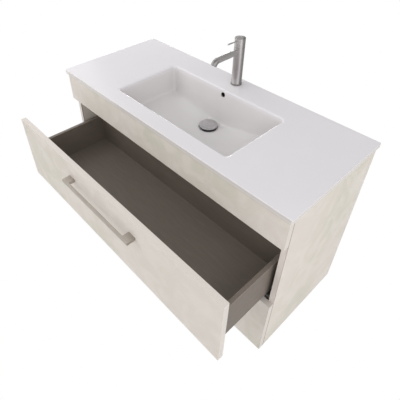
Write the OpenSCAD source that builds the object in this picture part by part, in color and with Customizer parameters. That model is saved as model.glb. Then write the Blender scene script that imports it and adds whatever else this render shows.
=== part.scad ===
// Wall-hung bathroom vanity: ceramic top with a moulded basin, carcass with a fixed
// apron and two full-overlay drawers on concealed runners, single-lever mixer and
// push-open waste. Millimetres. X is the width, the wall is the plane y = 0, the fronts
// face -Y, +Z is up. The origin is the centre of the four wall fixing holes.
// The upper drawer is drawn pulled out, the lower one shut.

/* [Cabinet] */
// Width of the cabinet across the drawer fronts
cabinet_width = 1000; // [800:10:1200]
// Depth from the wall to the faces of the fronts
cabinet_depth = 420; // [415:5:480]
// Height of the cabinet under the ceramic top
cabinet_height = 625; // [585:5:700]
// Thickness of the carcass boards
board = 16; // [15:1:19]
// Thickness of the drawer fronts and the apron
front_board = 18; // [16:1:22]
// Height of the fixed apron under the top
apron_height = 104; // [98:2:120]
// Gap between the fronts, and between the apron and the top
front_gap = 3; // [2:0.5:5]
// Height of the upper rear rail
upper_rail_height = 100; // [70:5:100]
// Height of the lower rear rail
lower_rail_height = 80; // [60:5:120]
// Height of the upright rail behind the apron
front_rail_height = 95; // [60:5:95]
// Drop of the upper rear rail below the ceramic top's underside
upper_rail_drop = 45; // [40:1:60]
// Distance of the rear rails from the wall
rail_setback = 18; // [16:1:24]

/* [Wall fixing] */
// Distance of a wall plate's centre from the carcass side it stands beside
fixing_inset = 34; // [33:1:50]
// Distance between the upper and the lower hole of a wall plate
fixing_spacing_z = 32; // [24:1:34]
// Diameter of the wall plates' holes
fixing_hole_d = 5.5; // [4.5:0.5:7]
// Drop of the fixing holes' centre below the ceramic top's underside
fixing_drop = 75; // [70:1:90]
// Thickness of the wall plates' steel
wall_plate_t = 2; // [1.5:0.5:3]
// Width of a wall plate
wall_plate_w = 64; // [52:2:66]
// Width of a hanger box
hanger_w = 16; // [14:1:18]
// Height of a hanger box
hanger_h = 44; // [40:1:50]
// Depth of a hanger box
hanger_depth = 52; // [40:1:60]

/* [Ceramic top] */
// Overhang of the top past the sides and the fronts
top_overhang = 7; // [3:1:15]
// Height of the top's edge
top_edge = 15; // [12:1:25]
// Thickness of the ceramic plate inside its turned-down edge
plate_t = 9; // [8:0.5:11]
// Width of the turned-down edge
lip_w = 32; // [26:1:36]
// Radius of the top's corners in plan
top_corner_r = 5; // [2:1:12]
// Radius of the top's upper edge
top_edge_r = 2; // [0.5:0.5:2]
// Wall thickness of the bowl
bowl_wall = 11; // [8:1:12]
// Width of the bowl at its rim
bowl_width = 500; // [420:10:560]
// Gap between the bowl's front wall and the rail behind the apron
bowl_front_gap = 9; // [2:1:20]
// Distance of the bowl's rim from the wall
bowl_setback = 106; // [98:1:112]
// Corner radius of the bowl's rim
bowl_corner_r = 14; // [8:1:30]
// Depth of the bowl's floor along the walls
bowl_edge_depth = 92; // [80:1:100]
// Depth of the bowl's floor at the waste
bowl_waste_depth = 120; // [112:1:126]
// Inward slope of the side walls over their height
side_slope = 10; // [4:1:24]
// Inward slope of the back wall over its height
back_slope = 14; // [6:1:20]
// Inward slope of the front wall over its height
front_slope = 16; // [6:1:24]
// Radius between the bowl's walls and its floor
bowl_fillet = 16; // [8:1:30]
// Radius of the bowl's rim
rim_radius = 3; // [1:0.5:5]
// Distance of the waste from the wall
waste_setback = 175; // [170:1:200]
// Diameter of the waste hole
waste_hole_d = 46; // [44:0.5:48]
// Diameter of the tap hole
tap_hole_d = 35; // [32:1:36]
// Diameter of the overflow hole
overflow_d = 18; // [14:1:20]
// Drop of the overflow hole's centre below the top
overflow_drop = 19; // [18:1:24]
// Inner width of the cast overflow channel
channel_w = 36; // [28:1:44]
// Inner depth of the cast overflow channel
channel_t = 12; // [8:1:12]
// Ceramic left round the overflow channel
channel_wall = 6; // [5:1:8]

/* [Drawers] */
// Length of a drawer box, front to back
box_length = 300; // [260:5:310]
// Height of a drawer box's sides
box_height = 140; // [110:5:145]
// Thickness of the drawer box boards
box_board = 12; // [11:1:16]
// Thickness of a drawer's bottom
bottom_t = 10; // [8:1:12]
// Recess under a drawer's bottom, where the runners sit
bottom_recess = 13; // [13:0.5:15]
// Depth of the groove that holds a drawer's bottom
groove_depth = 6; // [4:0.5:7]
// Gap between a drawer side and the cabinet side
runner_gap = 13; // [10:0.5:14]
// Lift of the upper box above the lower edge of its front
upper_box_lift = 15; // [12:1:24]
// Gap between the lower runners and the carcass bottom
runner_foot_gap = 2; // [1:0.5:8]
// How far the upper drawer stands open as drawn
upper_open = 216; // [0:4:280]
// How far the lower drawer stands open as drawn
lower_open = 0; // [0:4:280]

/* [Handles] */
// Distance between the centres of a handle's two feet
handle_spacing = 320; // [160:16:400]
// Width of a foot along the handle
handle_foot_w = 30; // [18:1:40]
// How far the handle stands out from the front
handle_reach = 29; // [24:1:40]
// Thickness of the grip bar, front to back
handle_bar_t = 8; // [6:0.5:12]
// Height of the handle's flat section
handle_h = 10; // [8:0.5:14]
// Drop of the handle's centre below the top edge of its front
handle_drop = 63; // [50:1:90]
// Radius inside the grip's corners
handle_inner_r = 5; // [2:0.5:10]

/* [Runners] */
// Length of the cabinet rails
rail_length = 300; // [270:5:305]
// Thickness of the runners' steel
rail_t = 1.5; // [1.2:0.1:1.8]
// Width of the rails' channel
rail_w = 28; // [26:1:34]
// Height of the cabinet rail's upright flange
rail_flange_h = 40; // [30:1:46]
// Gap between rails that slide in each other
rail_gap = 0.6; // [0.4:0.1:0.9]

/* [Mixer] */
// Distance of the mixer's axis from the wall
tap_setback = 42; // [40:1:46]
// Diameter of the mixer's body
tap_d = 36; // [34:1:42]
// Height of the mixer above the ceramic top
tap_height = 167; // [150:1:190]
// Height of the turning cap
cap_height = 30; // [26:1:34]
// Width by which the base ring stands out round the body
base_ring_margin = 1.5; // [1:0.5:4]
// Height of the base ring
base_ring_h = 6; // [3:0.5:10]
// Diameter of the spout tube
spout_d = 20; // [16:1:20]
// Drop of the spout's axis below the cap's seam
spout_drop = 16; // [14:1:30]
// Straight run of the spout from the mixer's axis
spout_run = 102; // [80:2:120]
// Radius of the spout's bend at its middle line
spout_bend_r = 20; // [16:1:30]
// How far the spout turns down
spout_turn = 50; // [30:5:80]
// Straight end of the spout after its bend
spout_end = 7; // [6:1:14]
// Diameter of the lever pin
lever_d = 4.5; // [4:0.5:6]
// Reach of the lever pin from the mixer's axis
lever_reach = 60; // [50:1:80]
// Depth of the lever pin's axis below the cap's top
lever_drop = 7; // [6:0.5:9]
// Height of the cap's seam above the lever's pivot
pivot_drop = 8; // [7:0.5:9]
// Diameter of the water inlets' M10 threads
inlet_d = 10; // [8:1:10]
// Depth of the water inlets' threads
inlet_depth = 12; // [10:1:16]

/* [Waste] */
// Outer diameter of the waste's flange
flange_d = 63; // [60:1:65]
// Thickness of the waste's flange
flange_t = 2.5; // [2:0.5:3]
// Outer diameter of the waste's threaded tail (G 1 1/4)
tail_d = 41.9; // [41.9:0.1:42.2]
// Length of the waste under its flange
tail_length = 75; // [70:1:80]
// Length of the thread that the trap screws on
outlet_length = 34; // [28:1:34]
// Bore of the waste's tail
tail_bore = 35; // [33:0.5:36]
// Diameter of the plug's cap
plug_d = 64; // [60:1:65]
// Height of the plug's rim
plug_rim = 4; // [3:0.5:5]
// Crown of the plug's top
plug_crown = 1.5; // [1:0.5:3]
// Travel of the plug from open to shut
plug_travel = 6; // [5:0.5:8]
// Diameter of the plug's stem
plug_stem_d = 7; // [6:0.5:8]

/* [Fits] */
// Radial clearance of a turning or sliding pin
running_fit = 0.05; // [0.02:0.01:0.1]
// Clearance of parts set into each other
seat_clearance = 0.1; // [0.05:0.05:0.2]
// Air gap between faces that move past each other
air_gap = 0.3; // [0.3:0.05:0.6]

/* [Hidden] */
$fn = 48;

// How far the cabinet rails reach below a drawer's sides.
foot_drop = 8;

// Levels, from the wall fixings.
carcass_top = fixing_drop;
top_level = carcass_top + top_edge;
carcass_bottom = carcass_top - cabinet_height;
apron_top = carcass_top - front_gap;
front_height = (cabinet_height - apron_height - 3 * front_gap) / 2;
upper_front_top = apron_top - apron_height - front_gap;
lower_front_top = upper_front_top - front_height - front_gap;
upper_box_level = upper_front_top - front_height + upper_box_lift;
lower_box_level = carcass_bottom + board + runner_foot_gap + foot_drop;

// Places across the width and the depth.
half_w = cabinet_width / 2;
inner_half_w = half_w - board;
carcass_front = front_board - cabinet_depth;
box_half_w = inner_half_w - runner_gap;
box_inner_half_w = box_half_w - box_board;
box_back = carcass_front + box_length;
bowl_run = cabinet_depth - front_board - board - bowl_front_gap - bowl_wall - bowl_setback;
fixing_spacing_x = 2 * (inner_half_w - fixing_inset);

// Colours of the materials.
laminate = [0.85, 0.83, 0.80];
laminate_shade = [0.78, 0.75, 0.72];
box_brown = [0.36, 0.32, 0.29];
nickel = [0.68, 0.66, 0.64];
zinc = [0.62, 0.63, 0.65];
glazed_white = [0.93, 0.93, 0.94];
rubber_black = [0.12, 0.12, 0.12];
plastic_grey = [0.45, 0.46, 0.48];
brass_yellow = [0.76, 0.66, 0.40];

// A box from its lowest to its highest corner.
module block(low, high) {
    translate(low) cube(high - low);
}

// A rectangle with round corners, centred, built from squares and circles.
module round_rect(w, d, r) {
    square([w - 2 * r, d], center = true);
    square([w, d - 2 * r], center = true);
    for (sx = [-1, 1], sy = [-1, 1]) {
        translate([sx * (w / 2 - r), sy * (d / 2 - r)]) circle(r);
    }
}

// A cylinder along Y that starts at a point and runs towards +Y.
module rod_y(start, length, d) {
    translate(start) rotate([-90, 0, 0]) cylinder(h = length, d = d);
}

// The same along X.
module rod_x(start, length, d) {
    translate(start) rotate([0, 90, 0]) cylinder(h = length, d = d);
}

// ---------------------------------------------------------------- carcass

upper_rail_top = carcass_top - upper_rail_drop;

// Levels of the wall plates' lip and of the hanger boxes that hook over it.
plate_edge = 10;
plate_reach = fixing_spacing_z / 2 + plate_edge;
lip_height = 14;
lip_top = plate_reach + lip_height;
hook_rise = 30;
hanger_low = lip_top - hook_rise;
hanger_back = 10;

// The cams' holes in the ends of the boards between the sides.
cam_d = 15;
cam_depth = 13;
cam_inset = 34;
cam_front_inset = 50;
cam_wall_inset = 60;
cam_x = inner_half_w - cam_inset;
cam_upper_z = upper_rail_top - upper_rail_height / 2;
cam_lower_z = carcass_bottom + board + lower_rail_height / 2;
cam_front_z = carcass_top - front_rail_height / 2;
cam_bottom_y = [carcass_front + cam_front_inset, -cam_wall_inset];

// Where each cam sits, and the way its open face looks.
cam_places = concat(
    [for (sx = [-1, 1]) [sx * cam_x, -rail_setback - board, cam_upper_z, 0]],
    [for (sx = [-1, 1]) [sx * cam_x, -rail_setback - board, cam_lower_z, 0]],
    [for (sx = [-1, 1]) [sx * cam_x, carcass_front + board, cam_front_z, 1]],
    [for (sx = [-1, 1], y = cam_bottom_y) [sx * cam_x, y, carcass_bottom + board, 2]]
);

// One cam or its hole: d is its diameter, over is how far it stands past the face.
module cam_shape(place, d, over) {
    way = place[3];
    turn = way == 0 ? [-90, 0, 0] : way == 1 ? [90, 0, 0] : [180, 0, 0];
    translate([place[0], place[1], place[2]])
        rotate(turn)
            translate([0, 0, -over]) cylinder(h = cam_depth + over, d = d);
}

module cam_holes() {
    for (place = cam_places) cam_shape(place, cam_d, 1);
}

// A side, with the holes of the screws that hold the runners and the hanger.
module side_panel() {
    difference() {
        block([inner_half_w, carcass_front, carcass_bottom], [half_w, 0, carcass_top]);
        side_screws(2 * seat_clearance, 1);
    }
}

module left_side_panel() {
    color(laminate) mirror([1, 0, 0]) side_panel();
}

module right_side_panel() {
    color(laminate) side_panel();
}

module bottom_panel() {
    color(laminate_shade) difference() {
        block([-inner_half_w, carcass_front, carcass_bottom],
              [inner_half_w, 0, carcass_bottom + board]);
        cam_holes();
    }
}

// The upper rear rail is notched round the hanger boxes at its ends.
notch_clearance = 4;

module upper_rear_rail() {
    color(laminate_shade) difference() {
        block([-inner_half_w, -rail_setback - board, upper_rail_top - upper_rail_height],
              [inner_half_w, -rail_setback, upper_rail_top]);
        for (sx = [-1, 1]) {
            translate([sx * inner_half_w, 0, 0])
                block([-hanger_w - notch_clearance, -rail_setback - board - 1,
                       hanger_low - notch_clearance],
                      [hanger_w + notch_clearance, -rail_setback + 1, upper_rail_top + 1]);
        }
        cam_holes();
    }
}

module lower_rear_rail() {
    color(laminate_shade) difference() {
        block([-inner_half_w, -rail_setback - board, carcass_bottom + board],
              [inner_half_w, -rail_setback, carcass_bottom + board + lower_rail_height]);
        cam_holes();
    }
}

module front_rail() {
    color(laminate_shade) difference() {
        block([-inner_half_w, carcass_front, carcass_top - front_rail_height],
              [inner_half_w, carcass_front + board, carcass_top]);
        cam_holes();
        for (x = apron_screw_x) apron_screw(x, 2 * seat_clearance, 1);
    }
}

module apron_panel() {
    color(laminate) difference() {
        block([-half_w, -cabinet_depth, apron_top - apron_height],
              [half_w, carcass_front, apron_top]);
        for (x = apron_screw_x) apron_screw(x, 2 * seat_clearance, 1);
    }
}

// A cam has a cross slot in its open face.
cam_slot_w = 2;
cam_slot_l = 9;
cam_slot_depth = 3;

module carcass_cams() {
    color(zinc) for (place = cam_places) {
        difference() {
            cam_shape(place, cam_d - 2 * seat_clearance, 0);
            translate([place[0], place[1], place[2]])
                for (turn = [0, 90]) rotate(place[3] == 2 ? [90, 0, 0] : [0, 0, 0])
                    rotate([0, turn, 0])
                        cube([cam_slot_l, 2 * cam_slot_depth, cam_slot_w], center = true);
        }
    }
}

// Screws through the front rail into the apron.
apron_screw_d = 4;
apron_screw_bite = 12;
apron_screw_inset = 120;
apron_screw_half_gap = 120;
apron_screw_x = [
    apron_screw_inset - inner_half_w, -apron_screw_half_gap,
    apron_screw_half_gap, inner_half_w - apron_screw_inset
];

module apron_screw(x, bore, over) {
    rod_y([x, carcass_front - apron_screw_bite - over, cam_front_z],
          apron_screw_bite + board + 2 * over, apron_screw_d + bore);
}

// Screws into the right side: three through each cabinet rail, two through the hanger.
side_screw_d = 4;
side_screw_bite = 12;
rail_screw_y = [37, 133, 261];
rail_screw_rise = 22;
hanger_screw_y = [12, 34];
hanger_screw_rise = 8;
rail_screw_places = [
    for (y = rail_screw_y, level = [upper_box_level, lower_box_level])
        [inner_half_w - rail_t, carcass_front + y, level + rail_screw_rise]
];
hanger_screw_places = [
    for (y = hanger_screw_y)
        [inner_half_w - hanger_w, -hanger_back - y, hanger_low + hanger_screw_rise]
];

module side_screws(bore, over) {
    for (place = concat(rail_screw_places, hanger_screw_places))
        rod_x([place[0] - over, place[1], place[2]],
              inner_half_w + side_screw_bite - place[0] + 2 * over, side_screw_d + bore);
}

// Every screw of the carcass: those of the apron, and those of the sides with their heads.
module carcass_screws() {
    color(zinc) {
        for (x = apron_screw_x) {
            apron_screw(x, 0, 0);
            rod_y([x, carcass_front + board, cam_front_z], screw_head_h, screw_head_d);
        }
        for (turn = [0, 1]) mirror([turn, 0, 0]) {
            side_screws(0, 0);
            for (place = concat(rail_screw_places, hanger_screw_places))
                rod_x([place[0] - screw_head_h, place[1], place[2]], screw_head_h, screw_head_d);
        }
    }
}

// ------------------------------------------------------------- wall fixing

plate_x = fixing_spacing_x / 2;
lip_stand_off = 8;
hook_t = 2.5;
hook_w = 12;

// The wall plate's section, from the wall outwards: flat, step and upright lip.
module wall_plate_section() {
    polygon([
        [0, -plate_reach], [-wall_plate_t, -plate_reach],
        [-wall_plate_t, plate_reach], [-lip_stand_off, plate_reach],
        [-lip_stand_off, lip_top], [wall_plate_t - lip_stand_off, lip_top],
        [wall_plate_t - lip_stand_off, plate_reach + wall_plate_t],
        [0, plate_reach + wall_plate_t]
    ]);
}

// Extrudes a section drawn in Y and Z along X, centred on x.
module along_x(x, w) {
    translate([x - w / 2, 0, 0]) rotate([90, 0, 90]) linear_extrude(w) children();
}

module wall_plates() {
    color(zinc) for (sx = [-1, 1]) {
        difference() {
            along_x(sx * plate_x, wall_plate_w) wall_plate_section();
            for (sz = [-1, 1])
                rod_y([sx * plate_x, -wall_plate_t - 1, sz * fixing_spacing_z / 2],
                      wall_plate_t + 2, fixing_hole_d);
        }
    }
}

// The hook comes out of the hanger box, passes over the lip and drops behind it.
hook_lift_room = 5;
hook_drop = lip_height - hook_lift_room;
hook_tail = 20;
hook_gap = air_gap;

module hook_section() {
    tongue_front = wall_plate_t - lip_stand_off + hook_gap;
    polygon([
        [-hanger_back - hook_tail, lip_top + hook_gap],
        [tongue_front, lip_top + hook_gap],
        [tongue_front, lip_top - hook_drop],
        [tongue_front + hook_t, lip_top - hook_drop],
        [tongue_front + hook_t, lip_top + hook_gap + hook_t],
        [-hanger_back - hook_tail, lip_top + hook_gap + hook_t]
    ]);
}

hook_x = inner_half_w - hanger_w / 2;

module hanger_hooks() {
    color(zinc) for (sx = [-1, 1]) along_x(sx * hook_x, hook_w) hook_section();
}

// The hanger box: a moulded case with a slot for the hook, two recesses for the
// adjusting key and the holes of its two screws.
key_d = 7;
key_depth = 12;
key_rise = [20, 33];

module hanger_case() {
    slot_low = lip_top + hook_gap - seat_clearance;
    slot_end = -hanger_back - hook_tail - seat_clearance;
    difference() {
        block([inner_half_w - hanger_w, -hanger_back - hanger_depth, hanger_low],
              [inner_half_w, -hanger_back, hanger_low + hanger_h]);
        block([hook_x - hook_w / 2 - seat_clearance, slot_end, slot_low],
              [hook_x + hook_w / 2 + seat_clearance, 0,
               slot_low + hook_t + 2 * seat_clearance]);
        for (rise = key_rise)
            rod_y([hook_x, -hanger_back - hanger_depth - 1, hanger_low + rise],
                  key_depth + 1, key_d);
        side_screws(2 * seat_clearance, 1);
    }
}

module left_hanger() {
    color(plastic_grey) mirror([1, 0, 0]) hanger_case();
}

module right_hanger() {
    color(plastic_grey) hanger_case();
}

// ------------------------------------------------------------- ceramic top

top_width = cabinet_width + 2 * top_overhang;
top_depth = cabinet_depth + top_overhang;
slice = 0.02;
fillet_steps = [0, 30, 60, 90];
waste_floor = top_level - bowl_waste_depth;
waste_seat_depth = 3;
waste_seat_d = flange_d + 3;
waste_dish_d = waste_seat_d + 8;
duct_top = waste_floor - waste_seat_depth - channel_wall;
duct_low = duct_top - channel_t;
pad_low = duct_low - channel_wall;
pad_d = waste_dish_d + 2;
clamp_room = 3;

// One level of the bowl: inset is counted from the rim, on the sides, back and front.
module bowl_slice(depth, side, back, front, grow) {
    w = bowl_width - 2 * side + 2 * grow;
    run = bowl_run - back - front + 2 * grow;
    translate([0, -bowl_setback - bowl_run / 2 - (back - front) / 2, top_level - depth])
        linear_extrude(slice) round_rect(w, run, bowl_corner_r + grow, $fn = 32);
}

// The bowl's form, grown by the wall's thickness for its outside: sloping walls, a
// fillet, and a floor that falls to the waste. The rim's slice stands proud by rise.
module bowl_form(grow, rise) {
    straight = (bowl_edge_depth - bowl_fillet) / bowl_edge_depth;
    hull() {
        bowl_slice(-rise, 0, 0, 0, grow);
        for (a = fillet_steps) {
            depth = bowl_edge_depth - bowl_fillet * (1 - sin(a)) + grow;
            inset = bowl_fillet * (1 - cos(a));
            bowl_slice(depth, side_slope * straight + inset, back_slope * straight + inset,
                       front_slope * straight + inset, grow);
        }
        translate([0, -waste_setback, waste_floor - grow])
            cylinder(h = slice, d = waste_dish_d, $fn = 32);
    }
}

// The rounding of the rim, cut as short flares one above the other.
module rim_flare() {
    for (k = [0 : len(fillet_steps) - 2]) hull() for (a = [fillet_steps[k], fillet_steps[k + 1]])
        bowl_slice(rim_radius * (1 - cos(a)), 0, 0, 0, rim_radius * (1 - sin(a)));
}

// What the rounding takes off an upper edge, drawn outwards from the round's centre.
module edge_waste() {
    difference() {
        square(top_edge_r + 1);
        circle(top_edge_r);
    }
}

// The rounding of the upper edges: four straight runs and the four corners between them.
module edge_rounding() {
    long = top_width - 2 * top_corner_r;
    short = top_depth - 2 * top_corner_r;
    translate([0, -top_depth / 2, top_level - top_edge_r]) {
        for (turn = [0, 180]) rotate([0, 0, turn]) {
            translate([-long / 2, top_depth / 2 - top_edge_r, 0])
                rotate([90, 0, 90]) linear_extrude(long) edge_waste();
            translate([top_width / 2 - top_edge_r, short / 2, 0])
                rotate([90, 0, 0]) linear_extrude(short) edge_waste();
        }
        for (sx = [0, 1], sy = [0, 1]) mirror([sx, 0, 0]) mirror([0, sy, 0])
            translate([long / 2, short / 2, 0]) rotate_extrude(angle = 90)
                translate([top_corner_r - top_edge_r, 0]) edge_waste();
    }
}

// The plate with its turned-down edge; the pocket under it leaves the edge standing.
module top_plate() {
    difference() {
        translate([0, -top_depth / 2, carcass_top])
            linear_extrude(top_edge) round_rect(top_width, top_depth, top_corner_r);
        edge_rounding();
        translate([0, -top_depth / 2, carcass_top - 1])
            linear_extrude(top_edge - plate_t + 1)
                round_rect(top_width - 2 * lip_w, top_depth - 2 * lip_w, top_corner_r);
    }
}

channel_offset = 2;
channel_cover = 0.5;
channel_back = channel_wall + channel_t + channel_offset - bowl_setback;
channel_high = top_level - plate_t - channel_cover;

module ceramic_top() {
    color(glazed_white) difference() {
        union() {
            top_plate();
            intersection() {
                bowl_form(bowl_wall, 0);
                translate([-top_width / 2, -top_depth, pad_low])
                    cube([top_width, top_depth, top_level - plate_t / 2 - pad_low]);
            }
            // Boss of the overflow channel behind and below the bowl.
            block([-channel_w / 2 - channel_wall, -bowl_setback - back_slope - 10, pad_low],
                  [channel_w / 2 + channel_wall, channel_back + channel_wall,
                   top_level - plate_t / 2]);
            block([-channel_w / 2 - channel_wall, -waste_setback, pad_low],
                  [channel_w / 2 + channel_wall, channel_back + channel_wall, waste_floor - 2]);
            // Pad that the waste is clamped to.
            translate([0, -waste_setback, pad_low])
                cylinder(h = waste_floor - 4 - pad_low, d = pad_d);
        }
        bowl_form(0, 2);
        rim_flare();
        // Tap hole, and the room for its washers in the turned-down edge.
        translate([0, -tap_setback, carcass_top - 1])
            cylinder(h = top_edge + 2, d = tap_hole_d);
        translate([0, -tap_setback, carcass_top - 1])
            cylinder(h = top_edge - plate_t + 1, d = clamp_d + 2 * clamp_room);
        // Waste hole and the seat of its flange.
        translate([0, -waste_setback, pad_low - 1])
            cylinder(h = waste_floor - pad_low + 2, d = waste_hole_d);
        translate([0, -waste_setback, waste_floor - waste_seat_depth])
            cylinder(h = waste_seat_depth + 3, d = waste_seat_d);
        // Overflow: the hole, the drop behind the bowl and the duct to the waste.
        rod_y([0, -bowl_setback - back_slope, top_level - overflow_drop],
              back_slope + bowl_setback + channel_back - 2, overflow_d);
        block([-channel_w / 2, channel_back - channel_t, duct_low],
              [channel_w / 2, channel_back, channel_high]);
        block([-channel_w / 2, -waste_setback, duct_low],
              [channel_w / 2, channel_back, duct_top]);
    }
}

// ------------------------------------------------------------------- waste

flange_low = waste_floor - waste_seat_depth;
flange_top = flange_low + flange_t;
tail_end = flange_low - tail_length;
thread_relief = 0.4;
shank_d = tail_d - 2 * thread_relief;
seal_t = 5;
nut_t = 10;
nut_d = 62;
cartridge_d = 12;
boss_d = 18;
boss_rise = 3;
boss_length = 22;
boss_high = duct_low + boss_rise;
boss_low = boss_high - boss_length;
arm_w = 4;
arm_inset = 6;
slot_w = 22;
slot_inset = 1;
shut_gap = air_gap;

module at_waste(z) {
    translate([0, -waste_setback, z]) children();
}

module waste_body() {
    color(nickel) difference() {
        union() {
            at_waste(flange_low) cylinder(h = flange_t, d = flange_d);
            at_waste(tail_end) cylinder(h = tail_length + 1, d = shank_d);
            at_waste(tail_end) cylinder(h = outlet_length, d = tail_d);
        }
        // Bore, left open round the boss and its three arms.
        difference() {
            at_waste(tail_end - 1) cylinder(h = tail_length + flange_t + 2, d = tail_bore);
            at_waste(boss_low) cylinder(h = boss_length, d = boss_d);
            at_waste(0) for (a = [90, 210, 330]) rotate([0, 0, a])
                block([0, -arm_w / 2, boss_low + arm_inset],
                      [tail_bore / 2 + 1, arm_w / 2, boss_high - arm_inset]);
        }
        at_waste(boss_low - 1)
            cylinder(h = boss_length + 2, d = cartridge_d + 2 * seat_clearance);
        // Overflow slots in front and behind, level with the ceramic's duct.
        at_waste(0) for (turn = [0, 180]) rotate([0, 0, turn])
            block([-slot_w / 2, tail_bore / 2 - 2, duct_low + slot_inset],
                  [slot_w / 2, tail_d, duct_top - slot_inset]);
    }
}

// The seal widens towards the ceramic.
seal_flare = 2;

module waste_seal() {
    color(rubber_black) difference() {
        at_waste(pad_low - seal_t)
            cylinder(h = seal_t, d1 = nut_d - seal_flare, d2 = nut_d + seal_flare);
        at_waste(pad_low - seal_t - 1)
            cylinder(h = seal_t + 2, d = tail_d + 2 * seat_clearance);
    }
}

// The nut is a ring with six wings for the hand.
wing_h = 4;
wing_w = 8;
wing_root = 2;
wing_inset = 1;

module waste_nut() {
    color(plastic_grey) difference() {
        union() {
            at_waste(pad_low - seal_t - nut_t) cylinder(h = nut_t, d = nut_d - 2 * wing_h);
            for (a = [0 : 60 : 300]) at_waste(pad_low - seal_t - nut_t) rotate([0, 0, a])
                block([tail_d / 2 + wing_root, -wing_w / 2, wing_inset],
                      [nut_d / 2, wing_w / 2, nut_t - wing_inset]);
        }
        at_waste(pad_low - seal_t - nut_t - 1)
            cylinder(h = nut_t + 2, d = tail_d + 2 * seat_clearance);
    }
}

// The click mechanism's sleeve, seated in the boss.
sleeve_head = 3;
sleeve_tail = 2;

module plug_cartridge() {
    color(brass_yellow) difference() {
        union() {
            at_waste(boss_low - sleeve_tail)
                cylinder(h = boss_length + sleeve_tail, d = cartridge_d);
            at_waste(boss_high) cylinder(h = sleeve_head, d = boss_d - 2);
        }
        at_waste(boss_low - sleeve_tail - 1)
            cylinder(h = boss_length + sleeve_tail + sleeve_head + 2,
                     d = plug_stem_d + 2 * running_fit);
    }
}

plug_low = flange_top + shut_gap + plug_travel;
crown_steps = 8;

// The plug as it stands when open: a crowned cap on a stem.
module waste_plug() {
    color(nickel) {
        at_waste(plug_low) rotate_extrude($fn = 96) polygon(concat(
            [[0, 0], [plug_d / 2 - 1, 0], [plug_d / 2, 1]],
            [for (k = [crown_steps : -1 : 0])
                [plug_d / 2 * k / crown_steps,
                 plug_rim + plug_crown * (1 - pow(k / crown_steps, 2))]]
        ));
        at_waste(boss_low + plug_travel + 1)
            cylinder(h = plug_low - boss_low - plug_travel, d = plug_stem_d);
    }
}

// ------------------------------------------------------------------- mixer

tap_r = tap_d / 2;
base_ring_d = tap_d + 2 * base_ring_margin;
tap_top = top_level + tap_height;
seam = tap_top - cap_height;
pivot = seam - pivot_drop;
rim_r = sqrt(pow(tap_r, 2) + pow(pivot_drop, 2));
dome_r = rim_r;
cap_hollow_r = rim_r + air_gap;
spigot_d = 30;
spigot_low = top_level;
body_low = top_level + base_ring_h;
body_wall = 5;
nut_wall = 1.5;
dome_wall = 1;
cartridge_body_d = tap_d - 2 * body_wall;
cartridge_low = pivot - 28;
cartridge_high = pivot - 3;
rotor_d = 18;
rotor_low = pivot - 12;
rotor_high = pivot + 5.5;
ball_d = 9;
stem_d = 7;
pivot_pin_d = 3;
nut_ring_d = tap_d - 2 * nut_wall;
dome_seat_depth = 5;
dome_skirt_d = tap_d - 2 * dome_wall;
stud_d = 8;
stud_y = 8 - tap_setback;
inlet_x = 7.5;
inlet_y = -4 - tap_setback;
lift_range = 24;
spout_level = seam - spout_drop;

module at_tap(z) {
    translate([0, -tap_setback, z]) children();
}

module tap_base_ring() {
    color(nickel) difference() {
        at_tap(top_level) cylinder(h = base_ring_h, d = base_ring_d);
        at_tap(top_level - 1) cylinder(h = base_ring_h + 2, d = spigot_d + 2 * seat_clearance);
    }
}

module tap_body() {
    color(nickel) difference() {
        union() {
            at_tap(body_low) cylinder(h = seam - body_low, d = tap_d);
            at_tap(spigot_low) cylinder(h = body_low - spigot_low + 1, d = spigot_d);
        }
        // Cartridge chamber, the nut's thread and the seat of the turning dome.
        at_tap(cartridge_low) cylinder(h = seam - cartridge_low + 1,
                                       d = cartridge_body_d + 2 * seat_clearance);
        at_tap(cartridge_high) cylinder(h = seam - cartridge_high + 1,
                                        d = nut_ring_d + 2 * seat_clearance);
        at_tap(seam - dome_seat_depth) cylinder(h = dome_seat_depth + 1,
                                                d = dome_skirt_d + 2 * running_fit);
        // Outlet to the spout, the two inlets and the stud's thread.
        rod_y([0, -tap_setback - tap_d, spout_level], tap_d, spout_d - 4);
        for (sx = [-1, 1]) translate([sx * inlet_x, inlet_y, spigot_low - 1])
            cylinder(h = inlet_depth + 1, d = inlet_d);
        translate([0, stud_y, spigot_low - 1]) cylinder(h = inlet_depth + 1, d = stud_d);
    }
}

// The spout: a tube that leaves the body level and turns down at its end. Bending draws
// the tube a hair thinner than its straight runs.
bend_draw = 0.1;

module spout_path(d, start, extra) {
    at_tap(spout_level) rotate([0, 0, -90]) {
        // Straight run along the local +X.
        translate([start, 0, 0]) rotate([0, 90, 0]) cylinder(h = spout_run - start, d = d);
        // Bend about a level axis below the run.
        translate([spout_run, 0, -spout_bend_r]) rotate([90, 0, 0])
            rotate([0, 0, 90 - spout_turn]) rotate_extrude(angle = spout_turn)
                translate([spout_bend_r, 0]) circle(d = d - bend_draw);
        // Straight end.
        translate([spout_run, 0, -spout_bend_r]) rotate([0, spout_turn, 0])
            translate([0, 0, spout_bend_r]) rotate([0, 90, 0])
                cylinder(h = spout_end + extra, d = d);
    }
}

module spout_tip() {
    at_tap(spout_level) rotate([0, 0, -90])
        translate([spout_run, 0, -spout_bend_r]) rotate([0, spout_turn, 0])
            translate([spout_end, 0, spout_bend_r]) rotate([0, 90, 0]) children();
}

spout_wall = 2;
aerator_wall = 1.5;
aerator_d = spout_d - 2 * aerator_wall;
aerator_l = 5;
aerator_recess = 0.5;
aerator_hole_d = 1.6;
aerator_pitch = 2.6;

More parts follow.
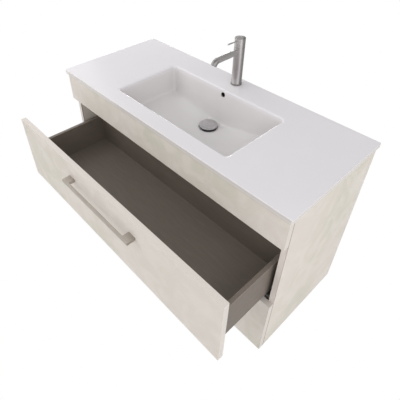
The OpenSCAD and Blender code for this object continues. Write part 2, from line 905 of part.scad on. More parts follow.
module tap_spout() {
    color(nickel) difference() {
        spout_path(spout_d, 0, 0);
        spout_path(spout_d - 2 * spout_wall, -1, 1);
        // The end that fits the body is cut to the body's round.
        at_tap(spout_level - spout_d)
            cylinder(h = 2 * spout_d, d = tap_d + 2 * running_fit, $fn = 96);
        spout_tip() translate([0, 0, -aerator_l - seat_clearance])
            cylinder(h = aerator_l + 2, d = aerator_d + 2 * seat_clearance);
    }
}

module tap_aerator() {
    color(plastic_grey) spout_tip() difference() {
        translate([0, 0, -aerator_l])
            cylinder(h = aerator_l - aerator_recess, d = aerator_d);
        translate([0, 0, -aerator_l - 1]) {
            cylinder(h = aerator_l + 2, d = aerator_hole_d);
            for (ring = [1, 2], k = [0 : 6 * ring - 1]) rotate([0, 0, k * 60 / ring])
                translate([ring * aerator_pitch, 0, 0])
                    cylinder(h = aerator_l + 2, d = aerator_hole_d);
        }
    }
}

module tap_cartridge() {
    color(plastic_grey) difference() {
        at_tap(cartridge_low + seat_clearance)
            cylinder(h = cartridge_high - cartridge_low - seat_clearance,
                     d = cartridge_body_d);
        at_tap(rotor_low - air_gap)
            cylinder(h = cartridge_high - rotor_low + 1, d = rotor_d + 2 * running_fit);
    }
}

module cartridge_nut() {
    nut_high = seam - dome_seat_depth - air_gap;
    color(brass_yellow) difference() {
        at_tap(cartridge_high) cylinder(h = nut_high - cartridge_high, d = nut_ring_d);
        at_tap(cartridge_high - 1)
            cylinder(h = nut_high - cartridge_high + 2, d = rotor_d + 2 * air_gap);
    }
}

// The slot that the stem sweeps as the cap tilts back.
module stem_sweep() {
    half = stem_d / 2 + air_gap;
    high = cap_height + pivot_drop;
    translate([0, -tap_setback, pivot]) along_x(0, stem_d + 2 * air_gap) polygon([
        [-half, 0], [half / cos(lift_range), 0],
        [half * cos(lift_range) + high * sin(lift_range),
         high * cos(lift_range) - half * sin(lift_range)],
        [-half, high]
    ]);
}

// The cross pin that the stem tilts on, or its bore: over is how far it stands past
// the rotor.
module pivot_pin(bore, over) {
    rod_x([-rotor_d / 2 - over, -tap_setback, pivot], rotor_d + 2 * over, pivot_pin_d + bore);
}

module tap_rotor() {
    color(plastic_grey) difference() {
        at_tap(rotor_low) cylinder(h = rotor_high - rotor_low, d = rotor_d);
        at_tap(pivot) sphere(d = ball_d + 2 * running_fit);
        pivot_pin(2 * running_fit, 1);
        stem_sweep();
    }
}

// The dome under the cap, turned as one piece: skirt, round shell and the hub that
// sits on the rotor.
dome_shell = 2.2;
hub_d = 15;
hub_open = 2.5;
arc_steps = 20;

// Points of a circle about the pivot, from one radius from the axis to another.
function dome_arc(r, from_x, to_x) = [
    for (k = [0 : arc_steps])
        let (a = acos(from_x / r) + (acos(to_x / r) - acos(from_x / r)) * k / arc_steps)
        [r * cos(a), r * sin(a)]
];

module tap_dome() {
    skirt_r = dome_skirt_d / 2;
    low = seam - dome_seat_depth - pivot;
    inner_r = dome_r - dome_shell;
    color(nickel) difference() {
        at_tap(pivot) rotate_extrude($fn = 96) polygon(concat(
            [[skirt_r, low]],
            dome_arc(dome_r, skirt_r, 0),
            [[0, rotor_high - pivot], [hub_d / 2, rotor_high - pivot]],
            dome_arc(inner_r, hub_d / 2, skirt_r - dome_shell),
            [[skirt_r - dome_shell, low]]
        ));
        stem_sweep();
        // The hub stays open at the back, below where the slanted slot leaves it.
        translate([-stem_d / 2 - air_gap, -tap_setback, rotor_high - 1])
            cube([stem_d + 2 * air_gap, hub_d / 2 + 1, hub_open + 1]);
    }
}

socket_depth = 10;
stem_top = pivot + cap_hollow_r + socket_depth;

module tap_stem() {
    color(brass_yellow) {
        at_tap(pivot) sphere(d = ball_d);
        at_tap(pivot) cylinder(h = stem_top - pivot - 1, d = stem_d);
        pivot_pin(0, -air_gap);
    }
}

lever_level = tap_top - lever_drop;
lever_socket = 9;

module tap_cap() {
    color(nickel) difference() {
        at_tap(seam) cylinder(h = cap_height, d = tap_d);
        at_tap(pivot) sphere(cap_hollow_r, $fn = 96);
        at_tap(pivot) cylinder(h = stem_top - pivot, d = stem_d + 2 * seat_clearance);
        rod_y([0, -tap_setback - tap_d, lever_level],
              tap_d - tap_r + lever_socket, lever_d + 2 * seat_clearance);
    }
}

module tap_lever() {
    grip = lever_reach - tap_r + lever_socket - 1;
    color(nickel) {
        rod_y([0, -tap_setback - lever_reach + lever_d / 2, lever_level],
              grip - lever_d / 2, lever_d);
        translate([0, -tap_setback - lever_reach + lever_d / 2, lever_level])
            sphere(d = lever_d);
    }
}

// Fixings under the top: stud, rubber washer, horseshoe clamp and nut.
stud_length = 66;
washer_t = 3;
clamp_t = 3;
clamp_d = 50;
tap_nut_h = 8;
tap_nut_d = 15;
plate_under = top_level - plate_t;

module tap_stud() {
    color(brass_yellow) translate([0, stud_y, spigot_low + inlet_depth - stud_length])
        cylinder(h = stud_length - 1, d = stud_d - 2 * seat_clearance);
}

// The clamp's plan: a disc cut open to the front for the inlets.
clamp_mouth = 28;
clamp_mouth_depth = 2.5;

module clamp_plan(d) {
    difference() {
        translate([0, -tap_setback]) circle(d = d);
        translate([-clamp_mouth / 2, -tap_setback - d])
            square([clamp_mouth, d + clamp_mouth_depth]);
        translate([0, stud_y]) circle(d = stud_d + 2 * seat_clearance);
    }
}

module tap_washer() {
    color(rubber_black) translate([0, 0, plate_under - washer_t])
        linear_extrude(washer_t) clamp_plan(clamp_d);
}

module tap_clamp() {
    color(zinc) translate([0, 0, plate_under - washer_t - clamp_t])
        linear_extrude(clamp_t) clamp_plan(clamp_d - 2);
}

module tap_nut() {
    color(brass_yellow) translate([0, stud_y, plate_under - washer_t - clamp_t - tap_nut_h])
        difference() {
            cylinder(h = tap_nut_h, d = tap_nut_d, $fn = 6);
            translate([0, 0, -1]) cylinder(h = tap_nut_h + 2, d = stud_d, $fn = 48);
        }
}

// ----------------------------------------------------------------- runners

// Rail sections are drawn in X and Z for the right side: x is counted inwards from the
// cabinet's side, z from the lower edge of the drawer's side.
channel_gap = 3;
channel_in = runner_gap + box_board + channel_gap;
channel_out = channel_in + rail_w;
fixed_wall_h = 11;
drawer_rail_gap = 1;
flange_top_h = rail_flange_h - foot_drop;

// A rectangle from its lowest to its highest corner.
module patch(low, high) {
    translate(low) square(high - low);
}

module fixed_rail_section() {
    patch([0, -foot_drop], [rail_t, flange_top_h]);
    patch([0, -foot_drop], [channel_out, rail_t - foot_drop]);
    patch([channel_in, -foot_drop], [channel_in + rail_t, fixed_wall_h - foot_drop]);
    patch([channel_out - rail_t, -foot_drop], [channel_out, fixed_wall_h - foot_drop]);
}

module middle_rail_section() {
    low = rail_t - foot_drop + rail_gap;
    high = bottom_recess - rail_t - rail_gap;
    left = channel_in + rail_t + rail_gap;
    right = channel_out - rail_t - rail_gap;
    middle = (left + right) / 2;
    patch([left, low], [right, low + rail_t]);
    patch([left, high - rail_t], [right, high]);
    patch([middle - rail_t, low], [middle + rail_t, high]);
}

module drawer_rail_section() {
    low = fixed_wall_h - foot_drop + drawer_rail_gap;
    patch([channel_in, bottom_recess - rail_t], [channel_out, bottom_recess]);
    patch([channel_in, low], [channel_in + rail_t, bottom_recess]);
    patch([channel_out - rail_t, low], [channel_out, bottom_recess]);
}

// Sweeps a rail's section along Y at the given side, level and length.
module rail(sx, level, front, length) {
    mirror([sx < 0 ? 1 : 0, 0, 0])
        translate([inner_half_w, front + length, level])
            mirror([1, 0, 0]) rotate([90, 0, 0]) linear_extrude(length) children();
}

rail_inset = 2;
middle_inset = 4;
rail_front = carcass_front + rail_inset;
middle_length = rail_length - 2 * middle_inset - rail_inset;
drawer_rail_length = rail_length - 2 * rail_inset;

module cabinet_rail(sx, level) {
    color(zinc) difference() {
        rail(sx, level, rail_front, rail_length) fixed_rail_section();
        mirror([sx < 0 ? 1 : 0, 0, 0]) side_screws(2 * seat_clearance, 1);
    }
}

module middle_rails(level, open) {
    color(zinc) for (sx = [-1, 1])
        rail(sx, level, rail_front + middle_inset - open / 2, middle_length)
            middle_rail_section();
}

module drawer_rails(level, open) {
    color(zinc) for (sx = [-1, 1])
        rail(sx, level, rail_front - open, drawer_rail_length) drawer_rail_section();
}

module upper_left_cabinet_rail() {
    cabinet_rail(-1, upper_box_level);
}

module upper_right_cabinet_rail() {
    cabinet_rail(1, upper_box_level);
}

module lower_left_cabinet_rail() {
    cabinet_rail(-1, lower_box_level);
}

module lower_right_cabinet_rail() {
    cabinet_rail(1, lower_box_level);
}

module upper_middle_rails() {
    middle_rails(upper_box_level, upper_open);
}

module lower_middle_rails() {
    middle_rails(lower_box_level, lower_open);
}

module upper_drawer_rails() {
    drawer_rails(upper_box_level, upper_open);
}

module lower_drawer_rails() {
    drawer_rails(lower_box_level, lower_open);
}

// ----------------------------------------------------------------- drawers

// Screws: two for the handle and four that hold the front to the box.
handle_screw_d = 4;
handle_thread = 16;
front_screw_d = 4;
screw_head_d = 8;
screw_head_h = 2.5;
front_screw_inset = 60;
front_screw_rise = 45;
front_screw_drop = 15;
front_screw_x = box_inner_half_w - front_screw_inset;
front_screw_bite = 12;

// Where the front's screws sit, on the drawer box front.
function front_screw_places(level) = [
    for (sx = [-1, 1], rise = [front_screw_rise, box_height - front_screw_drop])
        [sx * front_screw_x, level + rise]
];

module drawer_front(top, level, open) {
    handle_z = top - handle_drop;
    color(laminate) translate([0, -open, 0]) difference() {
        block([-half_w, -cabinet_depth, top - front_height], [half_w, carcass_front, top]);
        for (sx = [-1, 1])
            rod_y([sx * handle_spacing / 2, -cabinet_depth - 1, handle_z],
                  front_board + 2, handle_screw_d + 2 * seat_clearance);
        for (place = front_screw_places(level))
            rod_y([place[0], carcass_front - front_screw_bite, place[1]],
                  front_screw_bite + 1, front_screw_d + 2 * seat_clearance);
    }
}

// A side of the box, with the groove for the bottom.
module box_side(sx, level, open) {
    color(box_brown) mirror([sx < 0 ? 1 : 0, 0, 0]) translate([0, -open, 0]) difference() {
        block([box_inner_half_w, carcass_front, level], [box_half_w, box_back, level + box_height]);
        block([box_inner_half_w - 1, carcass_front - 1, level + bottom_recess],
              [box_inner_half_w + groove_depth, box_back + 1, level + bottom_recess + bottom_t]);
    }
}

module box_front(level, open) {
    color(box_brown) translate([0, -open, 0]) difference() {
        block([-box_inner_half_w, carcass_front, level + bottom_recess + bottom_t],
              [box_inner_half_w, carcass_front + box_board, level + box_height]);
        for (place = front_screw_places(level))
            rod_y([place[0], carcass_front - 1, place[1]],
                  box_board + 2, front_screw_d + 2 * seat_clearance);
    }
}

module box_back(level, open) {
    color(box_brown) translate([0, -open, 0])
        block([-box_inner_half_w, box_back - box_board, level + bottom_recess + bottom_t],
              [box_inner_half_w, box_back, level + box_height]);
}

module drawer_bottom(level, open) {
    reach = box_inner_half_w + groove_depth - seat_clearance;
    color(box_brown) translate([0, -open, 0])
        block([-reach, carcass_front, level + bottom_recess],
              [reach, box_back, level + bottom_recess + bottom_t]);
}

// The handle: one flat section, cut away behind the grip for the fingers.
module handle(top, open) {
    handle_z = top - handle_drop;
    length = handle_spacing + handle_foot_w;
    window = handle_spacing - handle_foot_w;
    depth = handle_reach - handle_bar_t;
    color(nickel) translate([0, -open - cabinet_depth, handle_z - handle_h / 2]) difference() {
        linear_extrude(handle_h) difference() {
            translate([-length / 2, -handle_reach]) square([length, handle_reach]);
            translate([-window / 2, -depth]) square([window, depth - handle_inner_r]);
            translate([0, -depth / 2]) round_rect(window, depth, handle_inner_r);
            translate([-window / 2, -handle_inner_r]) square([window, handle_inner_r + 1]);
        }
        for (sx = [-1, 1])
            rod_y([sx * handle_spacing / 2, -handle_thread, handle_h / 2],
                  handle_thread + 1, handle_screw_d + 2 * seat_clearance);
    }
}

module drawer_screws(top, level, open) {
    handle_z = top - handle_drop;
    color(zinc) translate([0, -open, 0]) {
        for (sx = [-1, 1]) {
            rod_y([sx * handle_spacing / 2, -cabinet_depth - handle_thread + 2, handle_z],
                  handle_thread - 2 + front_board, handle_screw_d);
            rod_y([sx * handle_spacing / 2, carcass_front, handle_z],
                  screw_head_h, screw_head_d);
        }
        for (place = front_screw_places(level)) {
            rod_y([place[0], carcass_front - front_screw_bite + 1, place[1]],
                  front_screw_bite - 1 + box_board, front_screw_d);
            rod_y([place[0], carcass_front + box_board, place[1]], screw_head_h, screw_head_d);
        }
    }
}

// Catches under the front corners of the bottom that lock the box to its runners.
clip_w = 30;
clip_l = 42;
clip_h = 11;
clip_wall = 6;
clip_roof = 3;

module drawer_clips(level, open) {
    color(plastic_grey) for (sx = [-1, 1]) mirror([sx < 0 ? 1 : 0, 0, 0])
        translate([inner_half_w - channel_out - air_gap - clip_w, carcass_front + 4 - open,
                   level + bottom_recess - clip_h])
            difference() {
                cube([clip_w, clip_l, clip_h]);
                translate([clip_wall, -1, -1])
                    cube([clip_w - 2 * clip_wall, clip_l / 2, clip_h - clip_roof]);
            }
}

module upper_front() {
    drawer_front(upper_front_top, upper_box_level, upper_open);
}

module upper_left_side() {
    box_side(-1, upper_box_level, upper_open);
}

module upper_right_side() {
    box_side(1, upper_box_level, upper_open);
}

module upper_box_front() {
    box_front(upper_box_level, upper_open);
}

module upper_box_back() {
    box_back(upper_box_level, upper_open);
}

module upper_bottom() {
    drawer_bottom(upper_box_level, upper_open);
}

module upper_handle() {
    handle(upper_front_top, upper_open);
}

module upper_clips() {
    drawer_clips(upper_box_level, upper_open);
}

module upper_screws() {
    drawer_screws(upper_front_top, upper_box_level, upper_open);
}

module lower_front() {
    drawer_front(lower_front_top, lower_box_level, lower_open);
}

module lower_left_side() {
    box_side(-1, lower_box_level, lower_open);
}

module lower_right_side() {
    box_side(1, lower_box_level, lower_open);
}

module lower_box_front() {
    box_front(lower_box_level, lower_open);
}

module lower_box_back() {
    box_back(lower_box_level, lower_open);
}

module lower_bottom() {
    drawer_bottom(lower_box_level, lower_open);
}

module lower_handle() {
    handle(lower_front_top, lower_open);
}

module lower_clips() {
    drawer_clips(lower_box_level, lower_open);
}

module lower_screws() {
    drawer_screws(lower_front_top, lower_box_level, lower_open);
}

left_side_panel();
right_side_panel();
bottom_panel();
upper_rear_rail();
lower_rear_rail();
front_rail();
apron_panel();
left_hanger();
right_hanger();
hanger_hooks();
wall_plates();
carcass_cams();
carcass_screws();
ceramic_top();
waste_body();
waste_seal();
waste_nut();
plug_cartridge();
waste_plug();
tap_base_ring();
tap_body();
tap_spout();
tap_aerator();
tap_cartridge();
cartridge_nut();
tap_stud();
tap_washer();
tap_clamp();
tap_nut();
tap_rotor();
tap_dome();
tap_stem();
tap_cap();
tap_lever();
upper_left_cabinet_rail();
upper_right_cabinet_rail();
lower_left_cabinet_rail();
lower_right_cabinet_rail();
upper_middle_rails();
lower_middle_rails();
upper_drawer_rails();
lower_drawer_rails();
upper_front();
upper_left_side();
upper_right_side();
upper_box_front();
upper_box_back();
upper_bottom();
upper_handle();
upper_clips();
upper_screws();
lower_front();
lower_left_side();
lower_right_side();
lower_box_front();
lower_box_back();
lower_bottom();
lower_handle();
lower_clips();
lower_screws();
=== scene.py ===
import math

import bmesh
import bpy
from mathutils import Matrix, Vector


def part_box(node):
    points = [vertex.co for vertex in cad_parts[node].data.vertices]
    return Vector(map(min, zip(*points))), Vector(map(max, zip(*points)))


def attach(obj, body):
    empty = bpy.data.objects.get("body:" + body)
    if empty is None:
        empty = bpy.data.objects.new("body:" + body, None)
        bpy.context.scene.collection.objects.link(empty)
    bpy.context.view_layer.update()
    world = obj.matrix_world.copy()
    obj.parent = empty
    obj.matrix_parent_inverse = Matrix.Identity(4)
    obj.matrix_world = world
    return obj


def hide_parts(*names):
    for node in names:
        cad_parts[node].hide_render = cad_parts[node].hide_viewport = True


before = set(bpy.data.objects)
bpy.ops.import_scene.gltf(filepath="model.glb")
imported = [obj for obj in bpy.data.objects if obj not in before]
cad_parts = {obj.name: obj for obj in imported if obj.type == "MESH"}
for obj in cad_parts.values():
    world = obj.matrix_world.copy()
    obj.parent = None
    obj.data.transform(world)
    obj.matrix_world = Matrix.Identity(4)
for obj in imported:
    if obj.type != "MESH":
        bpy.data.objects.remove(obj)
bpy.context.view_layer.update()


# ------------------------------------------------------------ carcass boards
# Side panels, bottom and rails: 16 mm chipboard faced with a matt cement-look
# laminate. Every edge carries a plain band in a slightly lighter tone, rounded
# by about a millimetre, and the boards are drawn together with cam fittings.


class Wire:
    """A value in a finish that can be reckoned with like a number."""

    def __init__(self, finish, socket):
        self.finish, self.socket = finish, socket

    def reckon(self, operation, first, second):
        return self.finish.node(
            "ShaderNodeMath", {"operation": operation}, {0: first, 1: second}
        )

    def __add__(self, other):
        return self.reckon("ADD", self, other)

    def __sub__(self, other):
        return self.reckon("SUBTRACT", self, other)

    def __rsub__(self, other):
        return self.reckon("SUBTRACT", other, self)

    def __mul__(self, other):
        return self.reckon("MULTIPLY", self, other)

    __radd__ = __add__

    def above(self, limit):
        return self.reckon("GREATER_THAN", self, limit)

    def size(self):
        return self.reckon("ABSOLUTE", self, 0.0)


class Finish:
    """One surface finish under way: its nodes, and the shader that closes it."""

    def __init__(self, name):
        self.material = bpy.data.materials.new(name)
        self.material.use_nodes = True
        self.tree = self.material.node_tree
        self.tree.nodes.clear()

    def node(self, kind, settings=None, sockets=None, out=0):
        made = self.tree.nodes.new(kind)
        for key, value in (settings or {}).items():
            setattr(made, key, value)
        for key, value in (sockets or {}).items():
            if isinstance(value, Wire):
                self.tree.links.new(value.socket, made.inputs[key])
            else:
                made.inputs[key].default_value = value
        return Wire(self, made.outputs[out] if made.outputs else None)

    def spot(self, stretch=(1, 1, 1)):
        """The point on the piece, in metres, stretched along each axis."""
        here = self.node("ShaderNodeTexCoord", out="Object")
        return self.node(
            "ShaderNodeMapping", sockets={"Vector": here, "Scale": stretch}
        )

    def cloud(self, per_metre, stretch=(1, 1, 1), detail=3.0, swirl=0.0):
        """Noise round a half, with so many lumps to the metre."""
        return self.node(
            "ShaderNodeTexNoise",
            sockets={
                "Vector": self.spot(stretch),
                "Scale": per_metre,
                "Detail": detail,
                "Distortion": swirl,
            },
        )

    def place(self, axis):
        """Where the point on the piece lies along an axis, in metres."""
        return self.node("ShaderNodeSeparateXYZ", sockets={0: self.spot()}, out=axis)

    def facing(self, axis):
        """How far the surface faces along an axis of the piece, either way."""
        way = self.node("ShaderNodeTexCoord", out="Normal")
        parts = self.node("ShaderNodeSeparateXYZ", sockets={0: way}, out=axis)
        return parts.size()

    def ramp(self, value, low, high, start=0.0, end=1.0):
        """The value's stretch from low to high, eased into start to end."""
        return self.node(
            "ShaderNodeMapRange",
            {"interpolation_type": "SMOOTHSTEP"},
            {0: value, 1: low, 2: high, 3: start, 4: end},
        )

    def blend(self, share, first, second):
        """From the first colour to the second as the share goes from 0 to 1."""
        return self.node(
            "ShaderNodeMix",
            {"data_type": "RGBA"},
            {0: share, 6: first, 7: second},
            out=2,
        )

    def close(self, colour, roughness, relief=None, depth=0.0, more=None):
        sockets = {"Base Color": colour, "Roughness": roughness, **(more or {})}
        if relief is not None:
            sockets["Normal"] = self.node(
                "ShaderNodeBump", sockets={"Distance": depth, "Height": relief}
            )
        shader = self.node("ShaderNodeBsdfPrincipled", sockets=sockets)
        self.node("ShaderNodeOutputMaterial", sockets={"Surface": shader})
        return self.material


def tone(red, green, blue):
    """A colour as a paint card gives it, 0 to 255, for a shader."""
    card = [level / 255 for level in (red, green, blue)]
    light = [c / 12.92 if c < 0.04 else ((c + 0.055) / 1.055) ** 2.4 for c in card]
    return light + [1]


def soften(piece, width, steps=2, limit=35, arris=None):
    """Rounds a piece's sharp edges and evens its shading."""
    for face in piece.data.polygons:
        face.use_smooth = True
    weld = piece.modifiers.new("seams closed", "WELD")
    weld.merge_threshold = 0.00001
    bevel = piece.modifiers.new("edges eased", "BEVEL")
    bevel.width, bevel.segments = width, steps
    bevel.limit_method, bevel.angle_limit = "ANGLE", math.radians(limit)
    bevel.miter_outer = "MITER_ARC"
    if arris:
        piece.data.materials.append(arris)
        bevel.material = 1
    even = piece.modifiers.new("faces evened", "WEIGHTED_NORMAL")
    even.weight, even.keep_sharp = 100, False


def dress(names, material, width, steps=2, arris=None):
    """Gives nodes of the frame their finish and eased edges."""
    for name in names:
        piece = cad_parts[name]
        piece.data.materials.clear()
        piece.data.materials.append(material)
        soften(piece, width, steps, arris=arris)


def laminate(name, thin, lift=0, seams=(), band=(219, 212, 205)):
    """The cement-look laminate of a board that is thin along one axis.

    lift makes it lighter, band is the tone of its edges. A seam here is a line of painted
    shade: an axis, where along it the brown shade starts and is full, and how strongly it
    shows."""
    finish = Finish(name)

    def card(*levels):
        return tone(*(level + lift for level in levels))

    warm, cool = card(215, 207, 199), card(205, 200, 187)
    smoothed, pores = card(223, 217, 210), card(184, 175, 167)
    # The brown below is for the lines of painted shade; worn edge bands are darker by
    # band_wear.
    painted_shade_brown, band_wear = tone(156, 142, 132), 8
    drift = finish.cloud(2.4, detail=3, swirl=0.5)
    trowel = finish.cloud(13, detail=5, swirl=0.9)
    grain = finish.cloud(420, detail=2)
    face = finish.blend(finish.ramp(drift, 0.38, 0.62), warm, cool)
    face = finish.blend(finish.ramp(trowel, 0.40, 0.66, 0, 0.55), face, smoothed)
    face = finish.blend(finish.ramp(grain, 0.35, 0.7, 0, 0.12), face, pores)
    edge = 1 - finish.facing(thin).above(0.7)
    # Lines of painted shade, blended in brown.
    for axis, start, full, share in seams:
        line = finish.ramp(finish.place(axis), start, full, 0, share)
        face = finish.blend(line, face, painted_shade_brown)
    worn_band = tone(*(level - band_wear for level in band))
    banded = finish.blend(finish.ramp(grain, 0.3, 0.7), tone(*band), worn_band)
    rough = 0.52 + drift * 0.10 + trowel * 0.08 - edge * 0.10
    relief = trowel * 0.35 + grain * 0.15
    return finish.close(finish.blend(edge, face, banded), rough, relief, 0.00012)


def arris(name, pale, dark):
    """The eased corner of an edge band, rubbed in some places more than in others; pale
    tones are a painted highlight, dark ones painted groove shade.
    """
    finish = Finish(name)
    rub = finish.cloud(90, detail=3)
    colour = finish.blend(finish.ramp(rub, 0.35, 0.7), pale, dark)
    return finish.close(colour, 0.40 + rub * 0.12, rub, 0.00004)


panel_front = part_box("left_side_panel")[0][1]
# Painted shade: a brown line down the side panels just behind their front edge, for the
# shadow in the gap behind the apron and fronts, and one just under the top on the sides and
# apron, for the shadow of the top's overhang.
front_gap_shade = (1, panel_front + 0.0038, panel_front + 0.0028, 1.0)
under_top_shade = (2, 0.0650, 0.0685, 0.6)
# Painted light: the apron, which lies in shade, takes a lighter copy of the laminate, the
# side panels a slightly lighter one and the fronts and rails a darker one. The side panels'
# edge bands are lightened where they lie in shade.
lightened_side_band = (230, 221, 214)
side_laminate = laminate("laminate_sides", 0, 2, (front_gap_shade, under_top_shade), lightened_side_band)
apron_laminate = laminate("laminate_apron", 1, 7, (under_top_shade,))
face_laminate = laminate("laminate_fronts", 1, -3)
level_laminate = laminate("laminate_bottom", 2)
# Painted highlight: a pale arris along the edges of the sides, apron and fronts. Painted
# shade: a dark arris along the edges of the bottom and rails, for the shade in the grooves
# where they meet the sides.
edge_highlight = arris("painted_highlight_arris", tone(244, 238, 232), tone(230, 223, 216))
groove_shade_arris = arris("groove_shade_arris", tone(178, 168, 158), tone(160, 150, 141))
board_round = 0.0009
dress(["left_side_panel", "right_side_panel"], side_laminate, board_round, 2, edge_highlight)
dress(["bottom_panel"], level_laminate, board_round, 2, groove_shade_arris)
rails = ["upper_rear_rail", "lower_rear_rail", "front_rail"]
dress(rails, face_laminate, board_round, 2, groove_shade_arris)
dress(["apron_panel"], apron_laminate, board_round, 2, edge_highlight)


# ------------------------------------------------------------- metal fittings
# Cams, carcass screws, hangers, hooks and wall plates: pressed or die-cast steel and
# zinc, plated, with the faint crystals of the plating and a brushed drag.


def zinc(name, colour, rough):
    """Plated zinc or steel, dulled in clouds to a flat grey."""
    finish = Finish(name)
    bloom_grey = tone(150, 150, 152)
    crystal = finish.node(
        "ShaderNodeTexVoronoi", sockets={"Vector": finish.spot(), "Scale": 260.0}
    )
    bloom = finish.cloud(60, detail=4)
    drag = finish.cloud(900, (1, 0.04, 1), detail=2)
    dull = finish.blend(finish.ramp(bloom, 0.4, 0.7, 0, 0.5), colour, bloom_grey)
    return finish.close(
        dull,
        rough + crystal * 0.12 + bloom * 0.1,
        drag * 0.5 + crystal * 0.5,
        0.00004,
        {"Metallic": 1.0},
    )


fitting_round, plate_round = 0.0003, 0.0004
zinc_plate = zinc("zinc_plate", tone(196, 198, 202), 0.28)
cam_zinc = zinc("cam_zinc", tone(186, 184, 178), 0.36)
dress(["carcass_cams", "carcass_screws"], cam_zinc, fitting_round)
hanging = ["left_hanger", "right_hanger", "hanger_hooks", "wall_plates"]
dress(hanging, zinc_plate, plate_round)


# ---------------------------------------------------------------- ceramic top
# One slip-cast piece of vitreous china: plate with a turned-down edge, bowl, hollow
# overflow channel behind it and the pad for the waste. Glazed white above and bare
# below, where it rests on the carcass in a line of sealant.

top_level, edge_low, plate_low = 0.090, 0.075, 0.081
half_wide, deep, edge_wide, plan_r = 0.507, 0.427, 0.032, 0.005
edge_r, rim_r, rim_corner = 0.0018, 0.0065, 0.009
bowl_half, bowl_run, bowl_back, bowl_corner = 0.250, 0.260, -0.106, 0.014
wall, bar_r = 0.011, 0.003
waste_y, floor_low, seat_low, pad_low = -0.175, -0.030, -0.033, -0.057
dish_r, seat_r, waste_r, pad_r = 0.0355, 0.033, 0.023, 0.038
channel_half, channel_near, channel_far, channel_high = 0.018, -0.098, -0.086, 0.0805
boss_half, boss_near, boss_far, boss_high = 0.024, -0.130, -0.080, 0.0855
duct_low, duct_high, arm_high = -0.051, -0.039, -0.032
tap_y, tap_hole_r, tap_room_r = -0.042, 0.0175, 0.028
overflow_z, overflow_r, overflow_near = 0.071, 0.009, -0.125
corner_steps, curve_steps, floor_steps, round_steps = 8, 12, 14, 6


def rounded(right, near, far, radius, level, fill=(0, 0)):
    """A level ring with rounded corners, anticlockwise from the right front.

    fill is how many more points the long and the short sides take, closest
    together half-way along."""
    corners = [(right, near, -90), (right, far, 0), (-right, far, 90), (-right, near, 180)]
    arcs = []
    for x, y, start in corners:
        middle_x = x - math.copysign(radius, x)
        middle_y = y + (radius if start in (-90, 180) else -radius)
        arcs.append([])
        for k in range(corner_steps + 1):
            a = math.radians(start + 90 * k / corner_steps)
            point = middle_x + radius * math.cos(a), middle_y + radius * math.sin(a), level
            arcs[-1].append(Vector(point))
    ring = []
    for k, arc in enumerate(arcs):
        ring += arc
        count = fill[(k + 1) % 2]
        for n in range(1, count + 1):
            u = 2 * n / (count + 1) - 1
            share = (1 + 0.35 * u + 0.65 * u**3) / 2
            ring.append(arc[-1].lerp(arcs[(k + 1) % 4][0], share))
    return ring


def circle(radius, y, level):
    return rounded(radius, y - radius, y + radius, radius, level)


def loft(rings):
    """A closed skin through rings of points, capped at both ends."""
    made = bmesh.new()
    rows = [[made.verts.new(p) for p in ring] for ring in rings]
    for low, high in zip(rows, rows[1:]):
        for k in range(len(low)):
            n = (k + 1) % len(low)
            made.faces.new((low[k], low[n], high[n], high[k]))
    made.faces.new(reversed(rows[0]))
    made.faces.new(rows[-1])
    bmesh.ops.remove_doubles(made, verts=made.verts, dist=1e-7)
    bmesh.ops.dissolve_degenerate(made, edges=made.edges, dist=1e-7)
    bmesh.ops.recalc_face_normals(made, faces=made.faces)
    return made


def placed(name, made):
    """An object in the scene from a skin that was built."""
    mesh = bpy.data.meshes.new(name)
    made.to_mesh(mesh)
    made.free()
    piece = bpy.data.objects.new(name, mesh)
    bpy.context.scene.collection.objects.link(piece)
    return piece


def carve(piece, tool, operation):
    """Joins a tool's shape to a piece, or cuts it away, for good."""
    step = piece.modifiers.new("carve", "BOOLEAN")
    step.object, step.operation, step.solver = tool, operation, "EXACT"
    bpy.context.view_layer.update()
    seen = piece.evaluated_get(bpy.context.evaluated_depsgraph_get())
    mesh = bpy.data.meshes.new_from_object(seen)
    piece.modifiers.clear()
    piece.data = mesh
    bpy.data.objects.remove(tool)


def bowl_ring(depth, grow, insets=(0, 0, 0), corner=None):
    """A ring of the bowl at a depth below the top; insets are side, back, front."""
    side, back, front = insets
    return rounded(
        bowl_half - side + grow,
        bowl_back - bowl_run + front - grow,
        bowl_back - back + grow,
        corner or bowl_corner + grow,
        top_level - depth,
        (40, 14),
    )


def aimed(ring, radius, level):
    """A ring round the waste, each point straight in from a point further out."""
    inner = []
    for p in ring:
        way = Vector((p.x, p.y - waste_y)).normalized() * radius
        inner.append(Vector((way.x, waste_y + way.y, level)))
    return inner


falls, curve_runs = (0.010, 0.014, 0.016), (0.013, 0.0185, 0.015)
corner_curve, back_curve, curve_over = 0.014, 0.042, 0.080
scoop_high, scoop_run, scoop_from, scoop_over = 0.008, 0.050, 0.030, 0.090
floor_fall, fall_near, fall_over, fall_stretch = 0.028, 0.057, 0.190, 1.6
foot_x, foot_y = bowl_half - falls[0] - curve_runs[0], bowl_back - falls[1] - curve_runs[1]


def eased(share):
    share = min(max(share, 0), 1)
    return share * share * (3 - 2 * share)


def behind(x, y):
    """How fully the back wall runs out into the floor here: not in the corners."""
    return eased((foot_x - abs(x)) / curve_over) if y > waste_y else 0


def scooped(x, y):
    """How fully the floor itself sweeps up to the back wall, beside the waste."""
    return scoop_high * behind(x, y) * eased((abs(x) - scoop_from) / scoop_over)


def floor_level(x, y):
    """The level of the bowl's floor, which falls to the waste from all round."""
    away = math.hypot(x, fall_stretch * (y - waste_y))
    lift = scooped(x, y) * max(1 - (foot_y - y) / scoop_run, 0) ** 2
    return floor_low + floor_fall * eased((away - fall_near) / fall_over) + lift


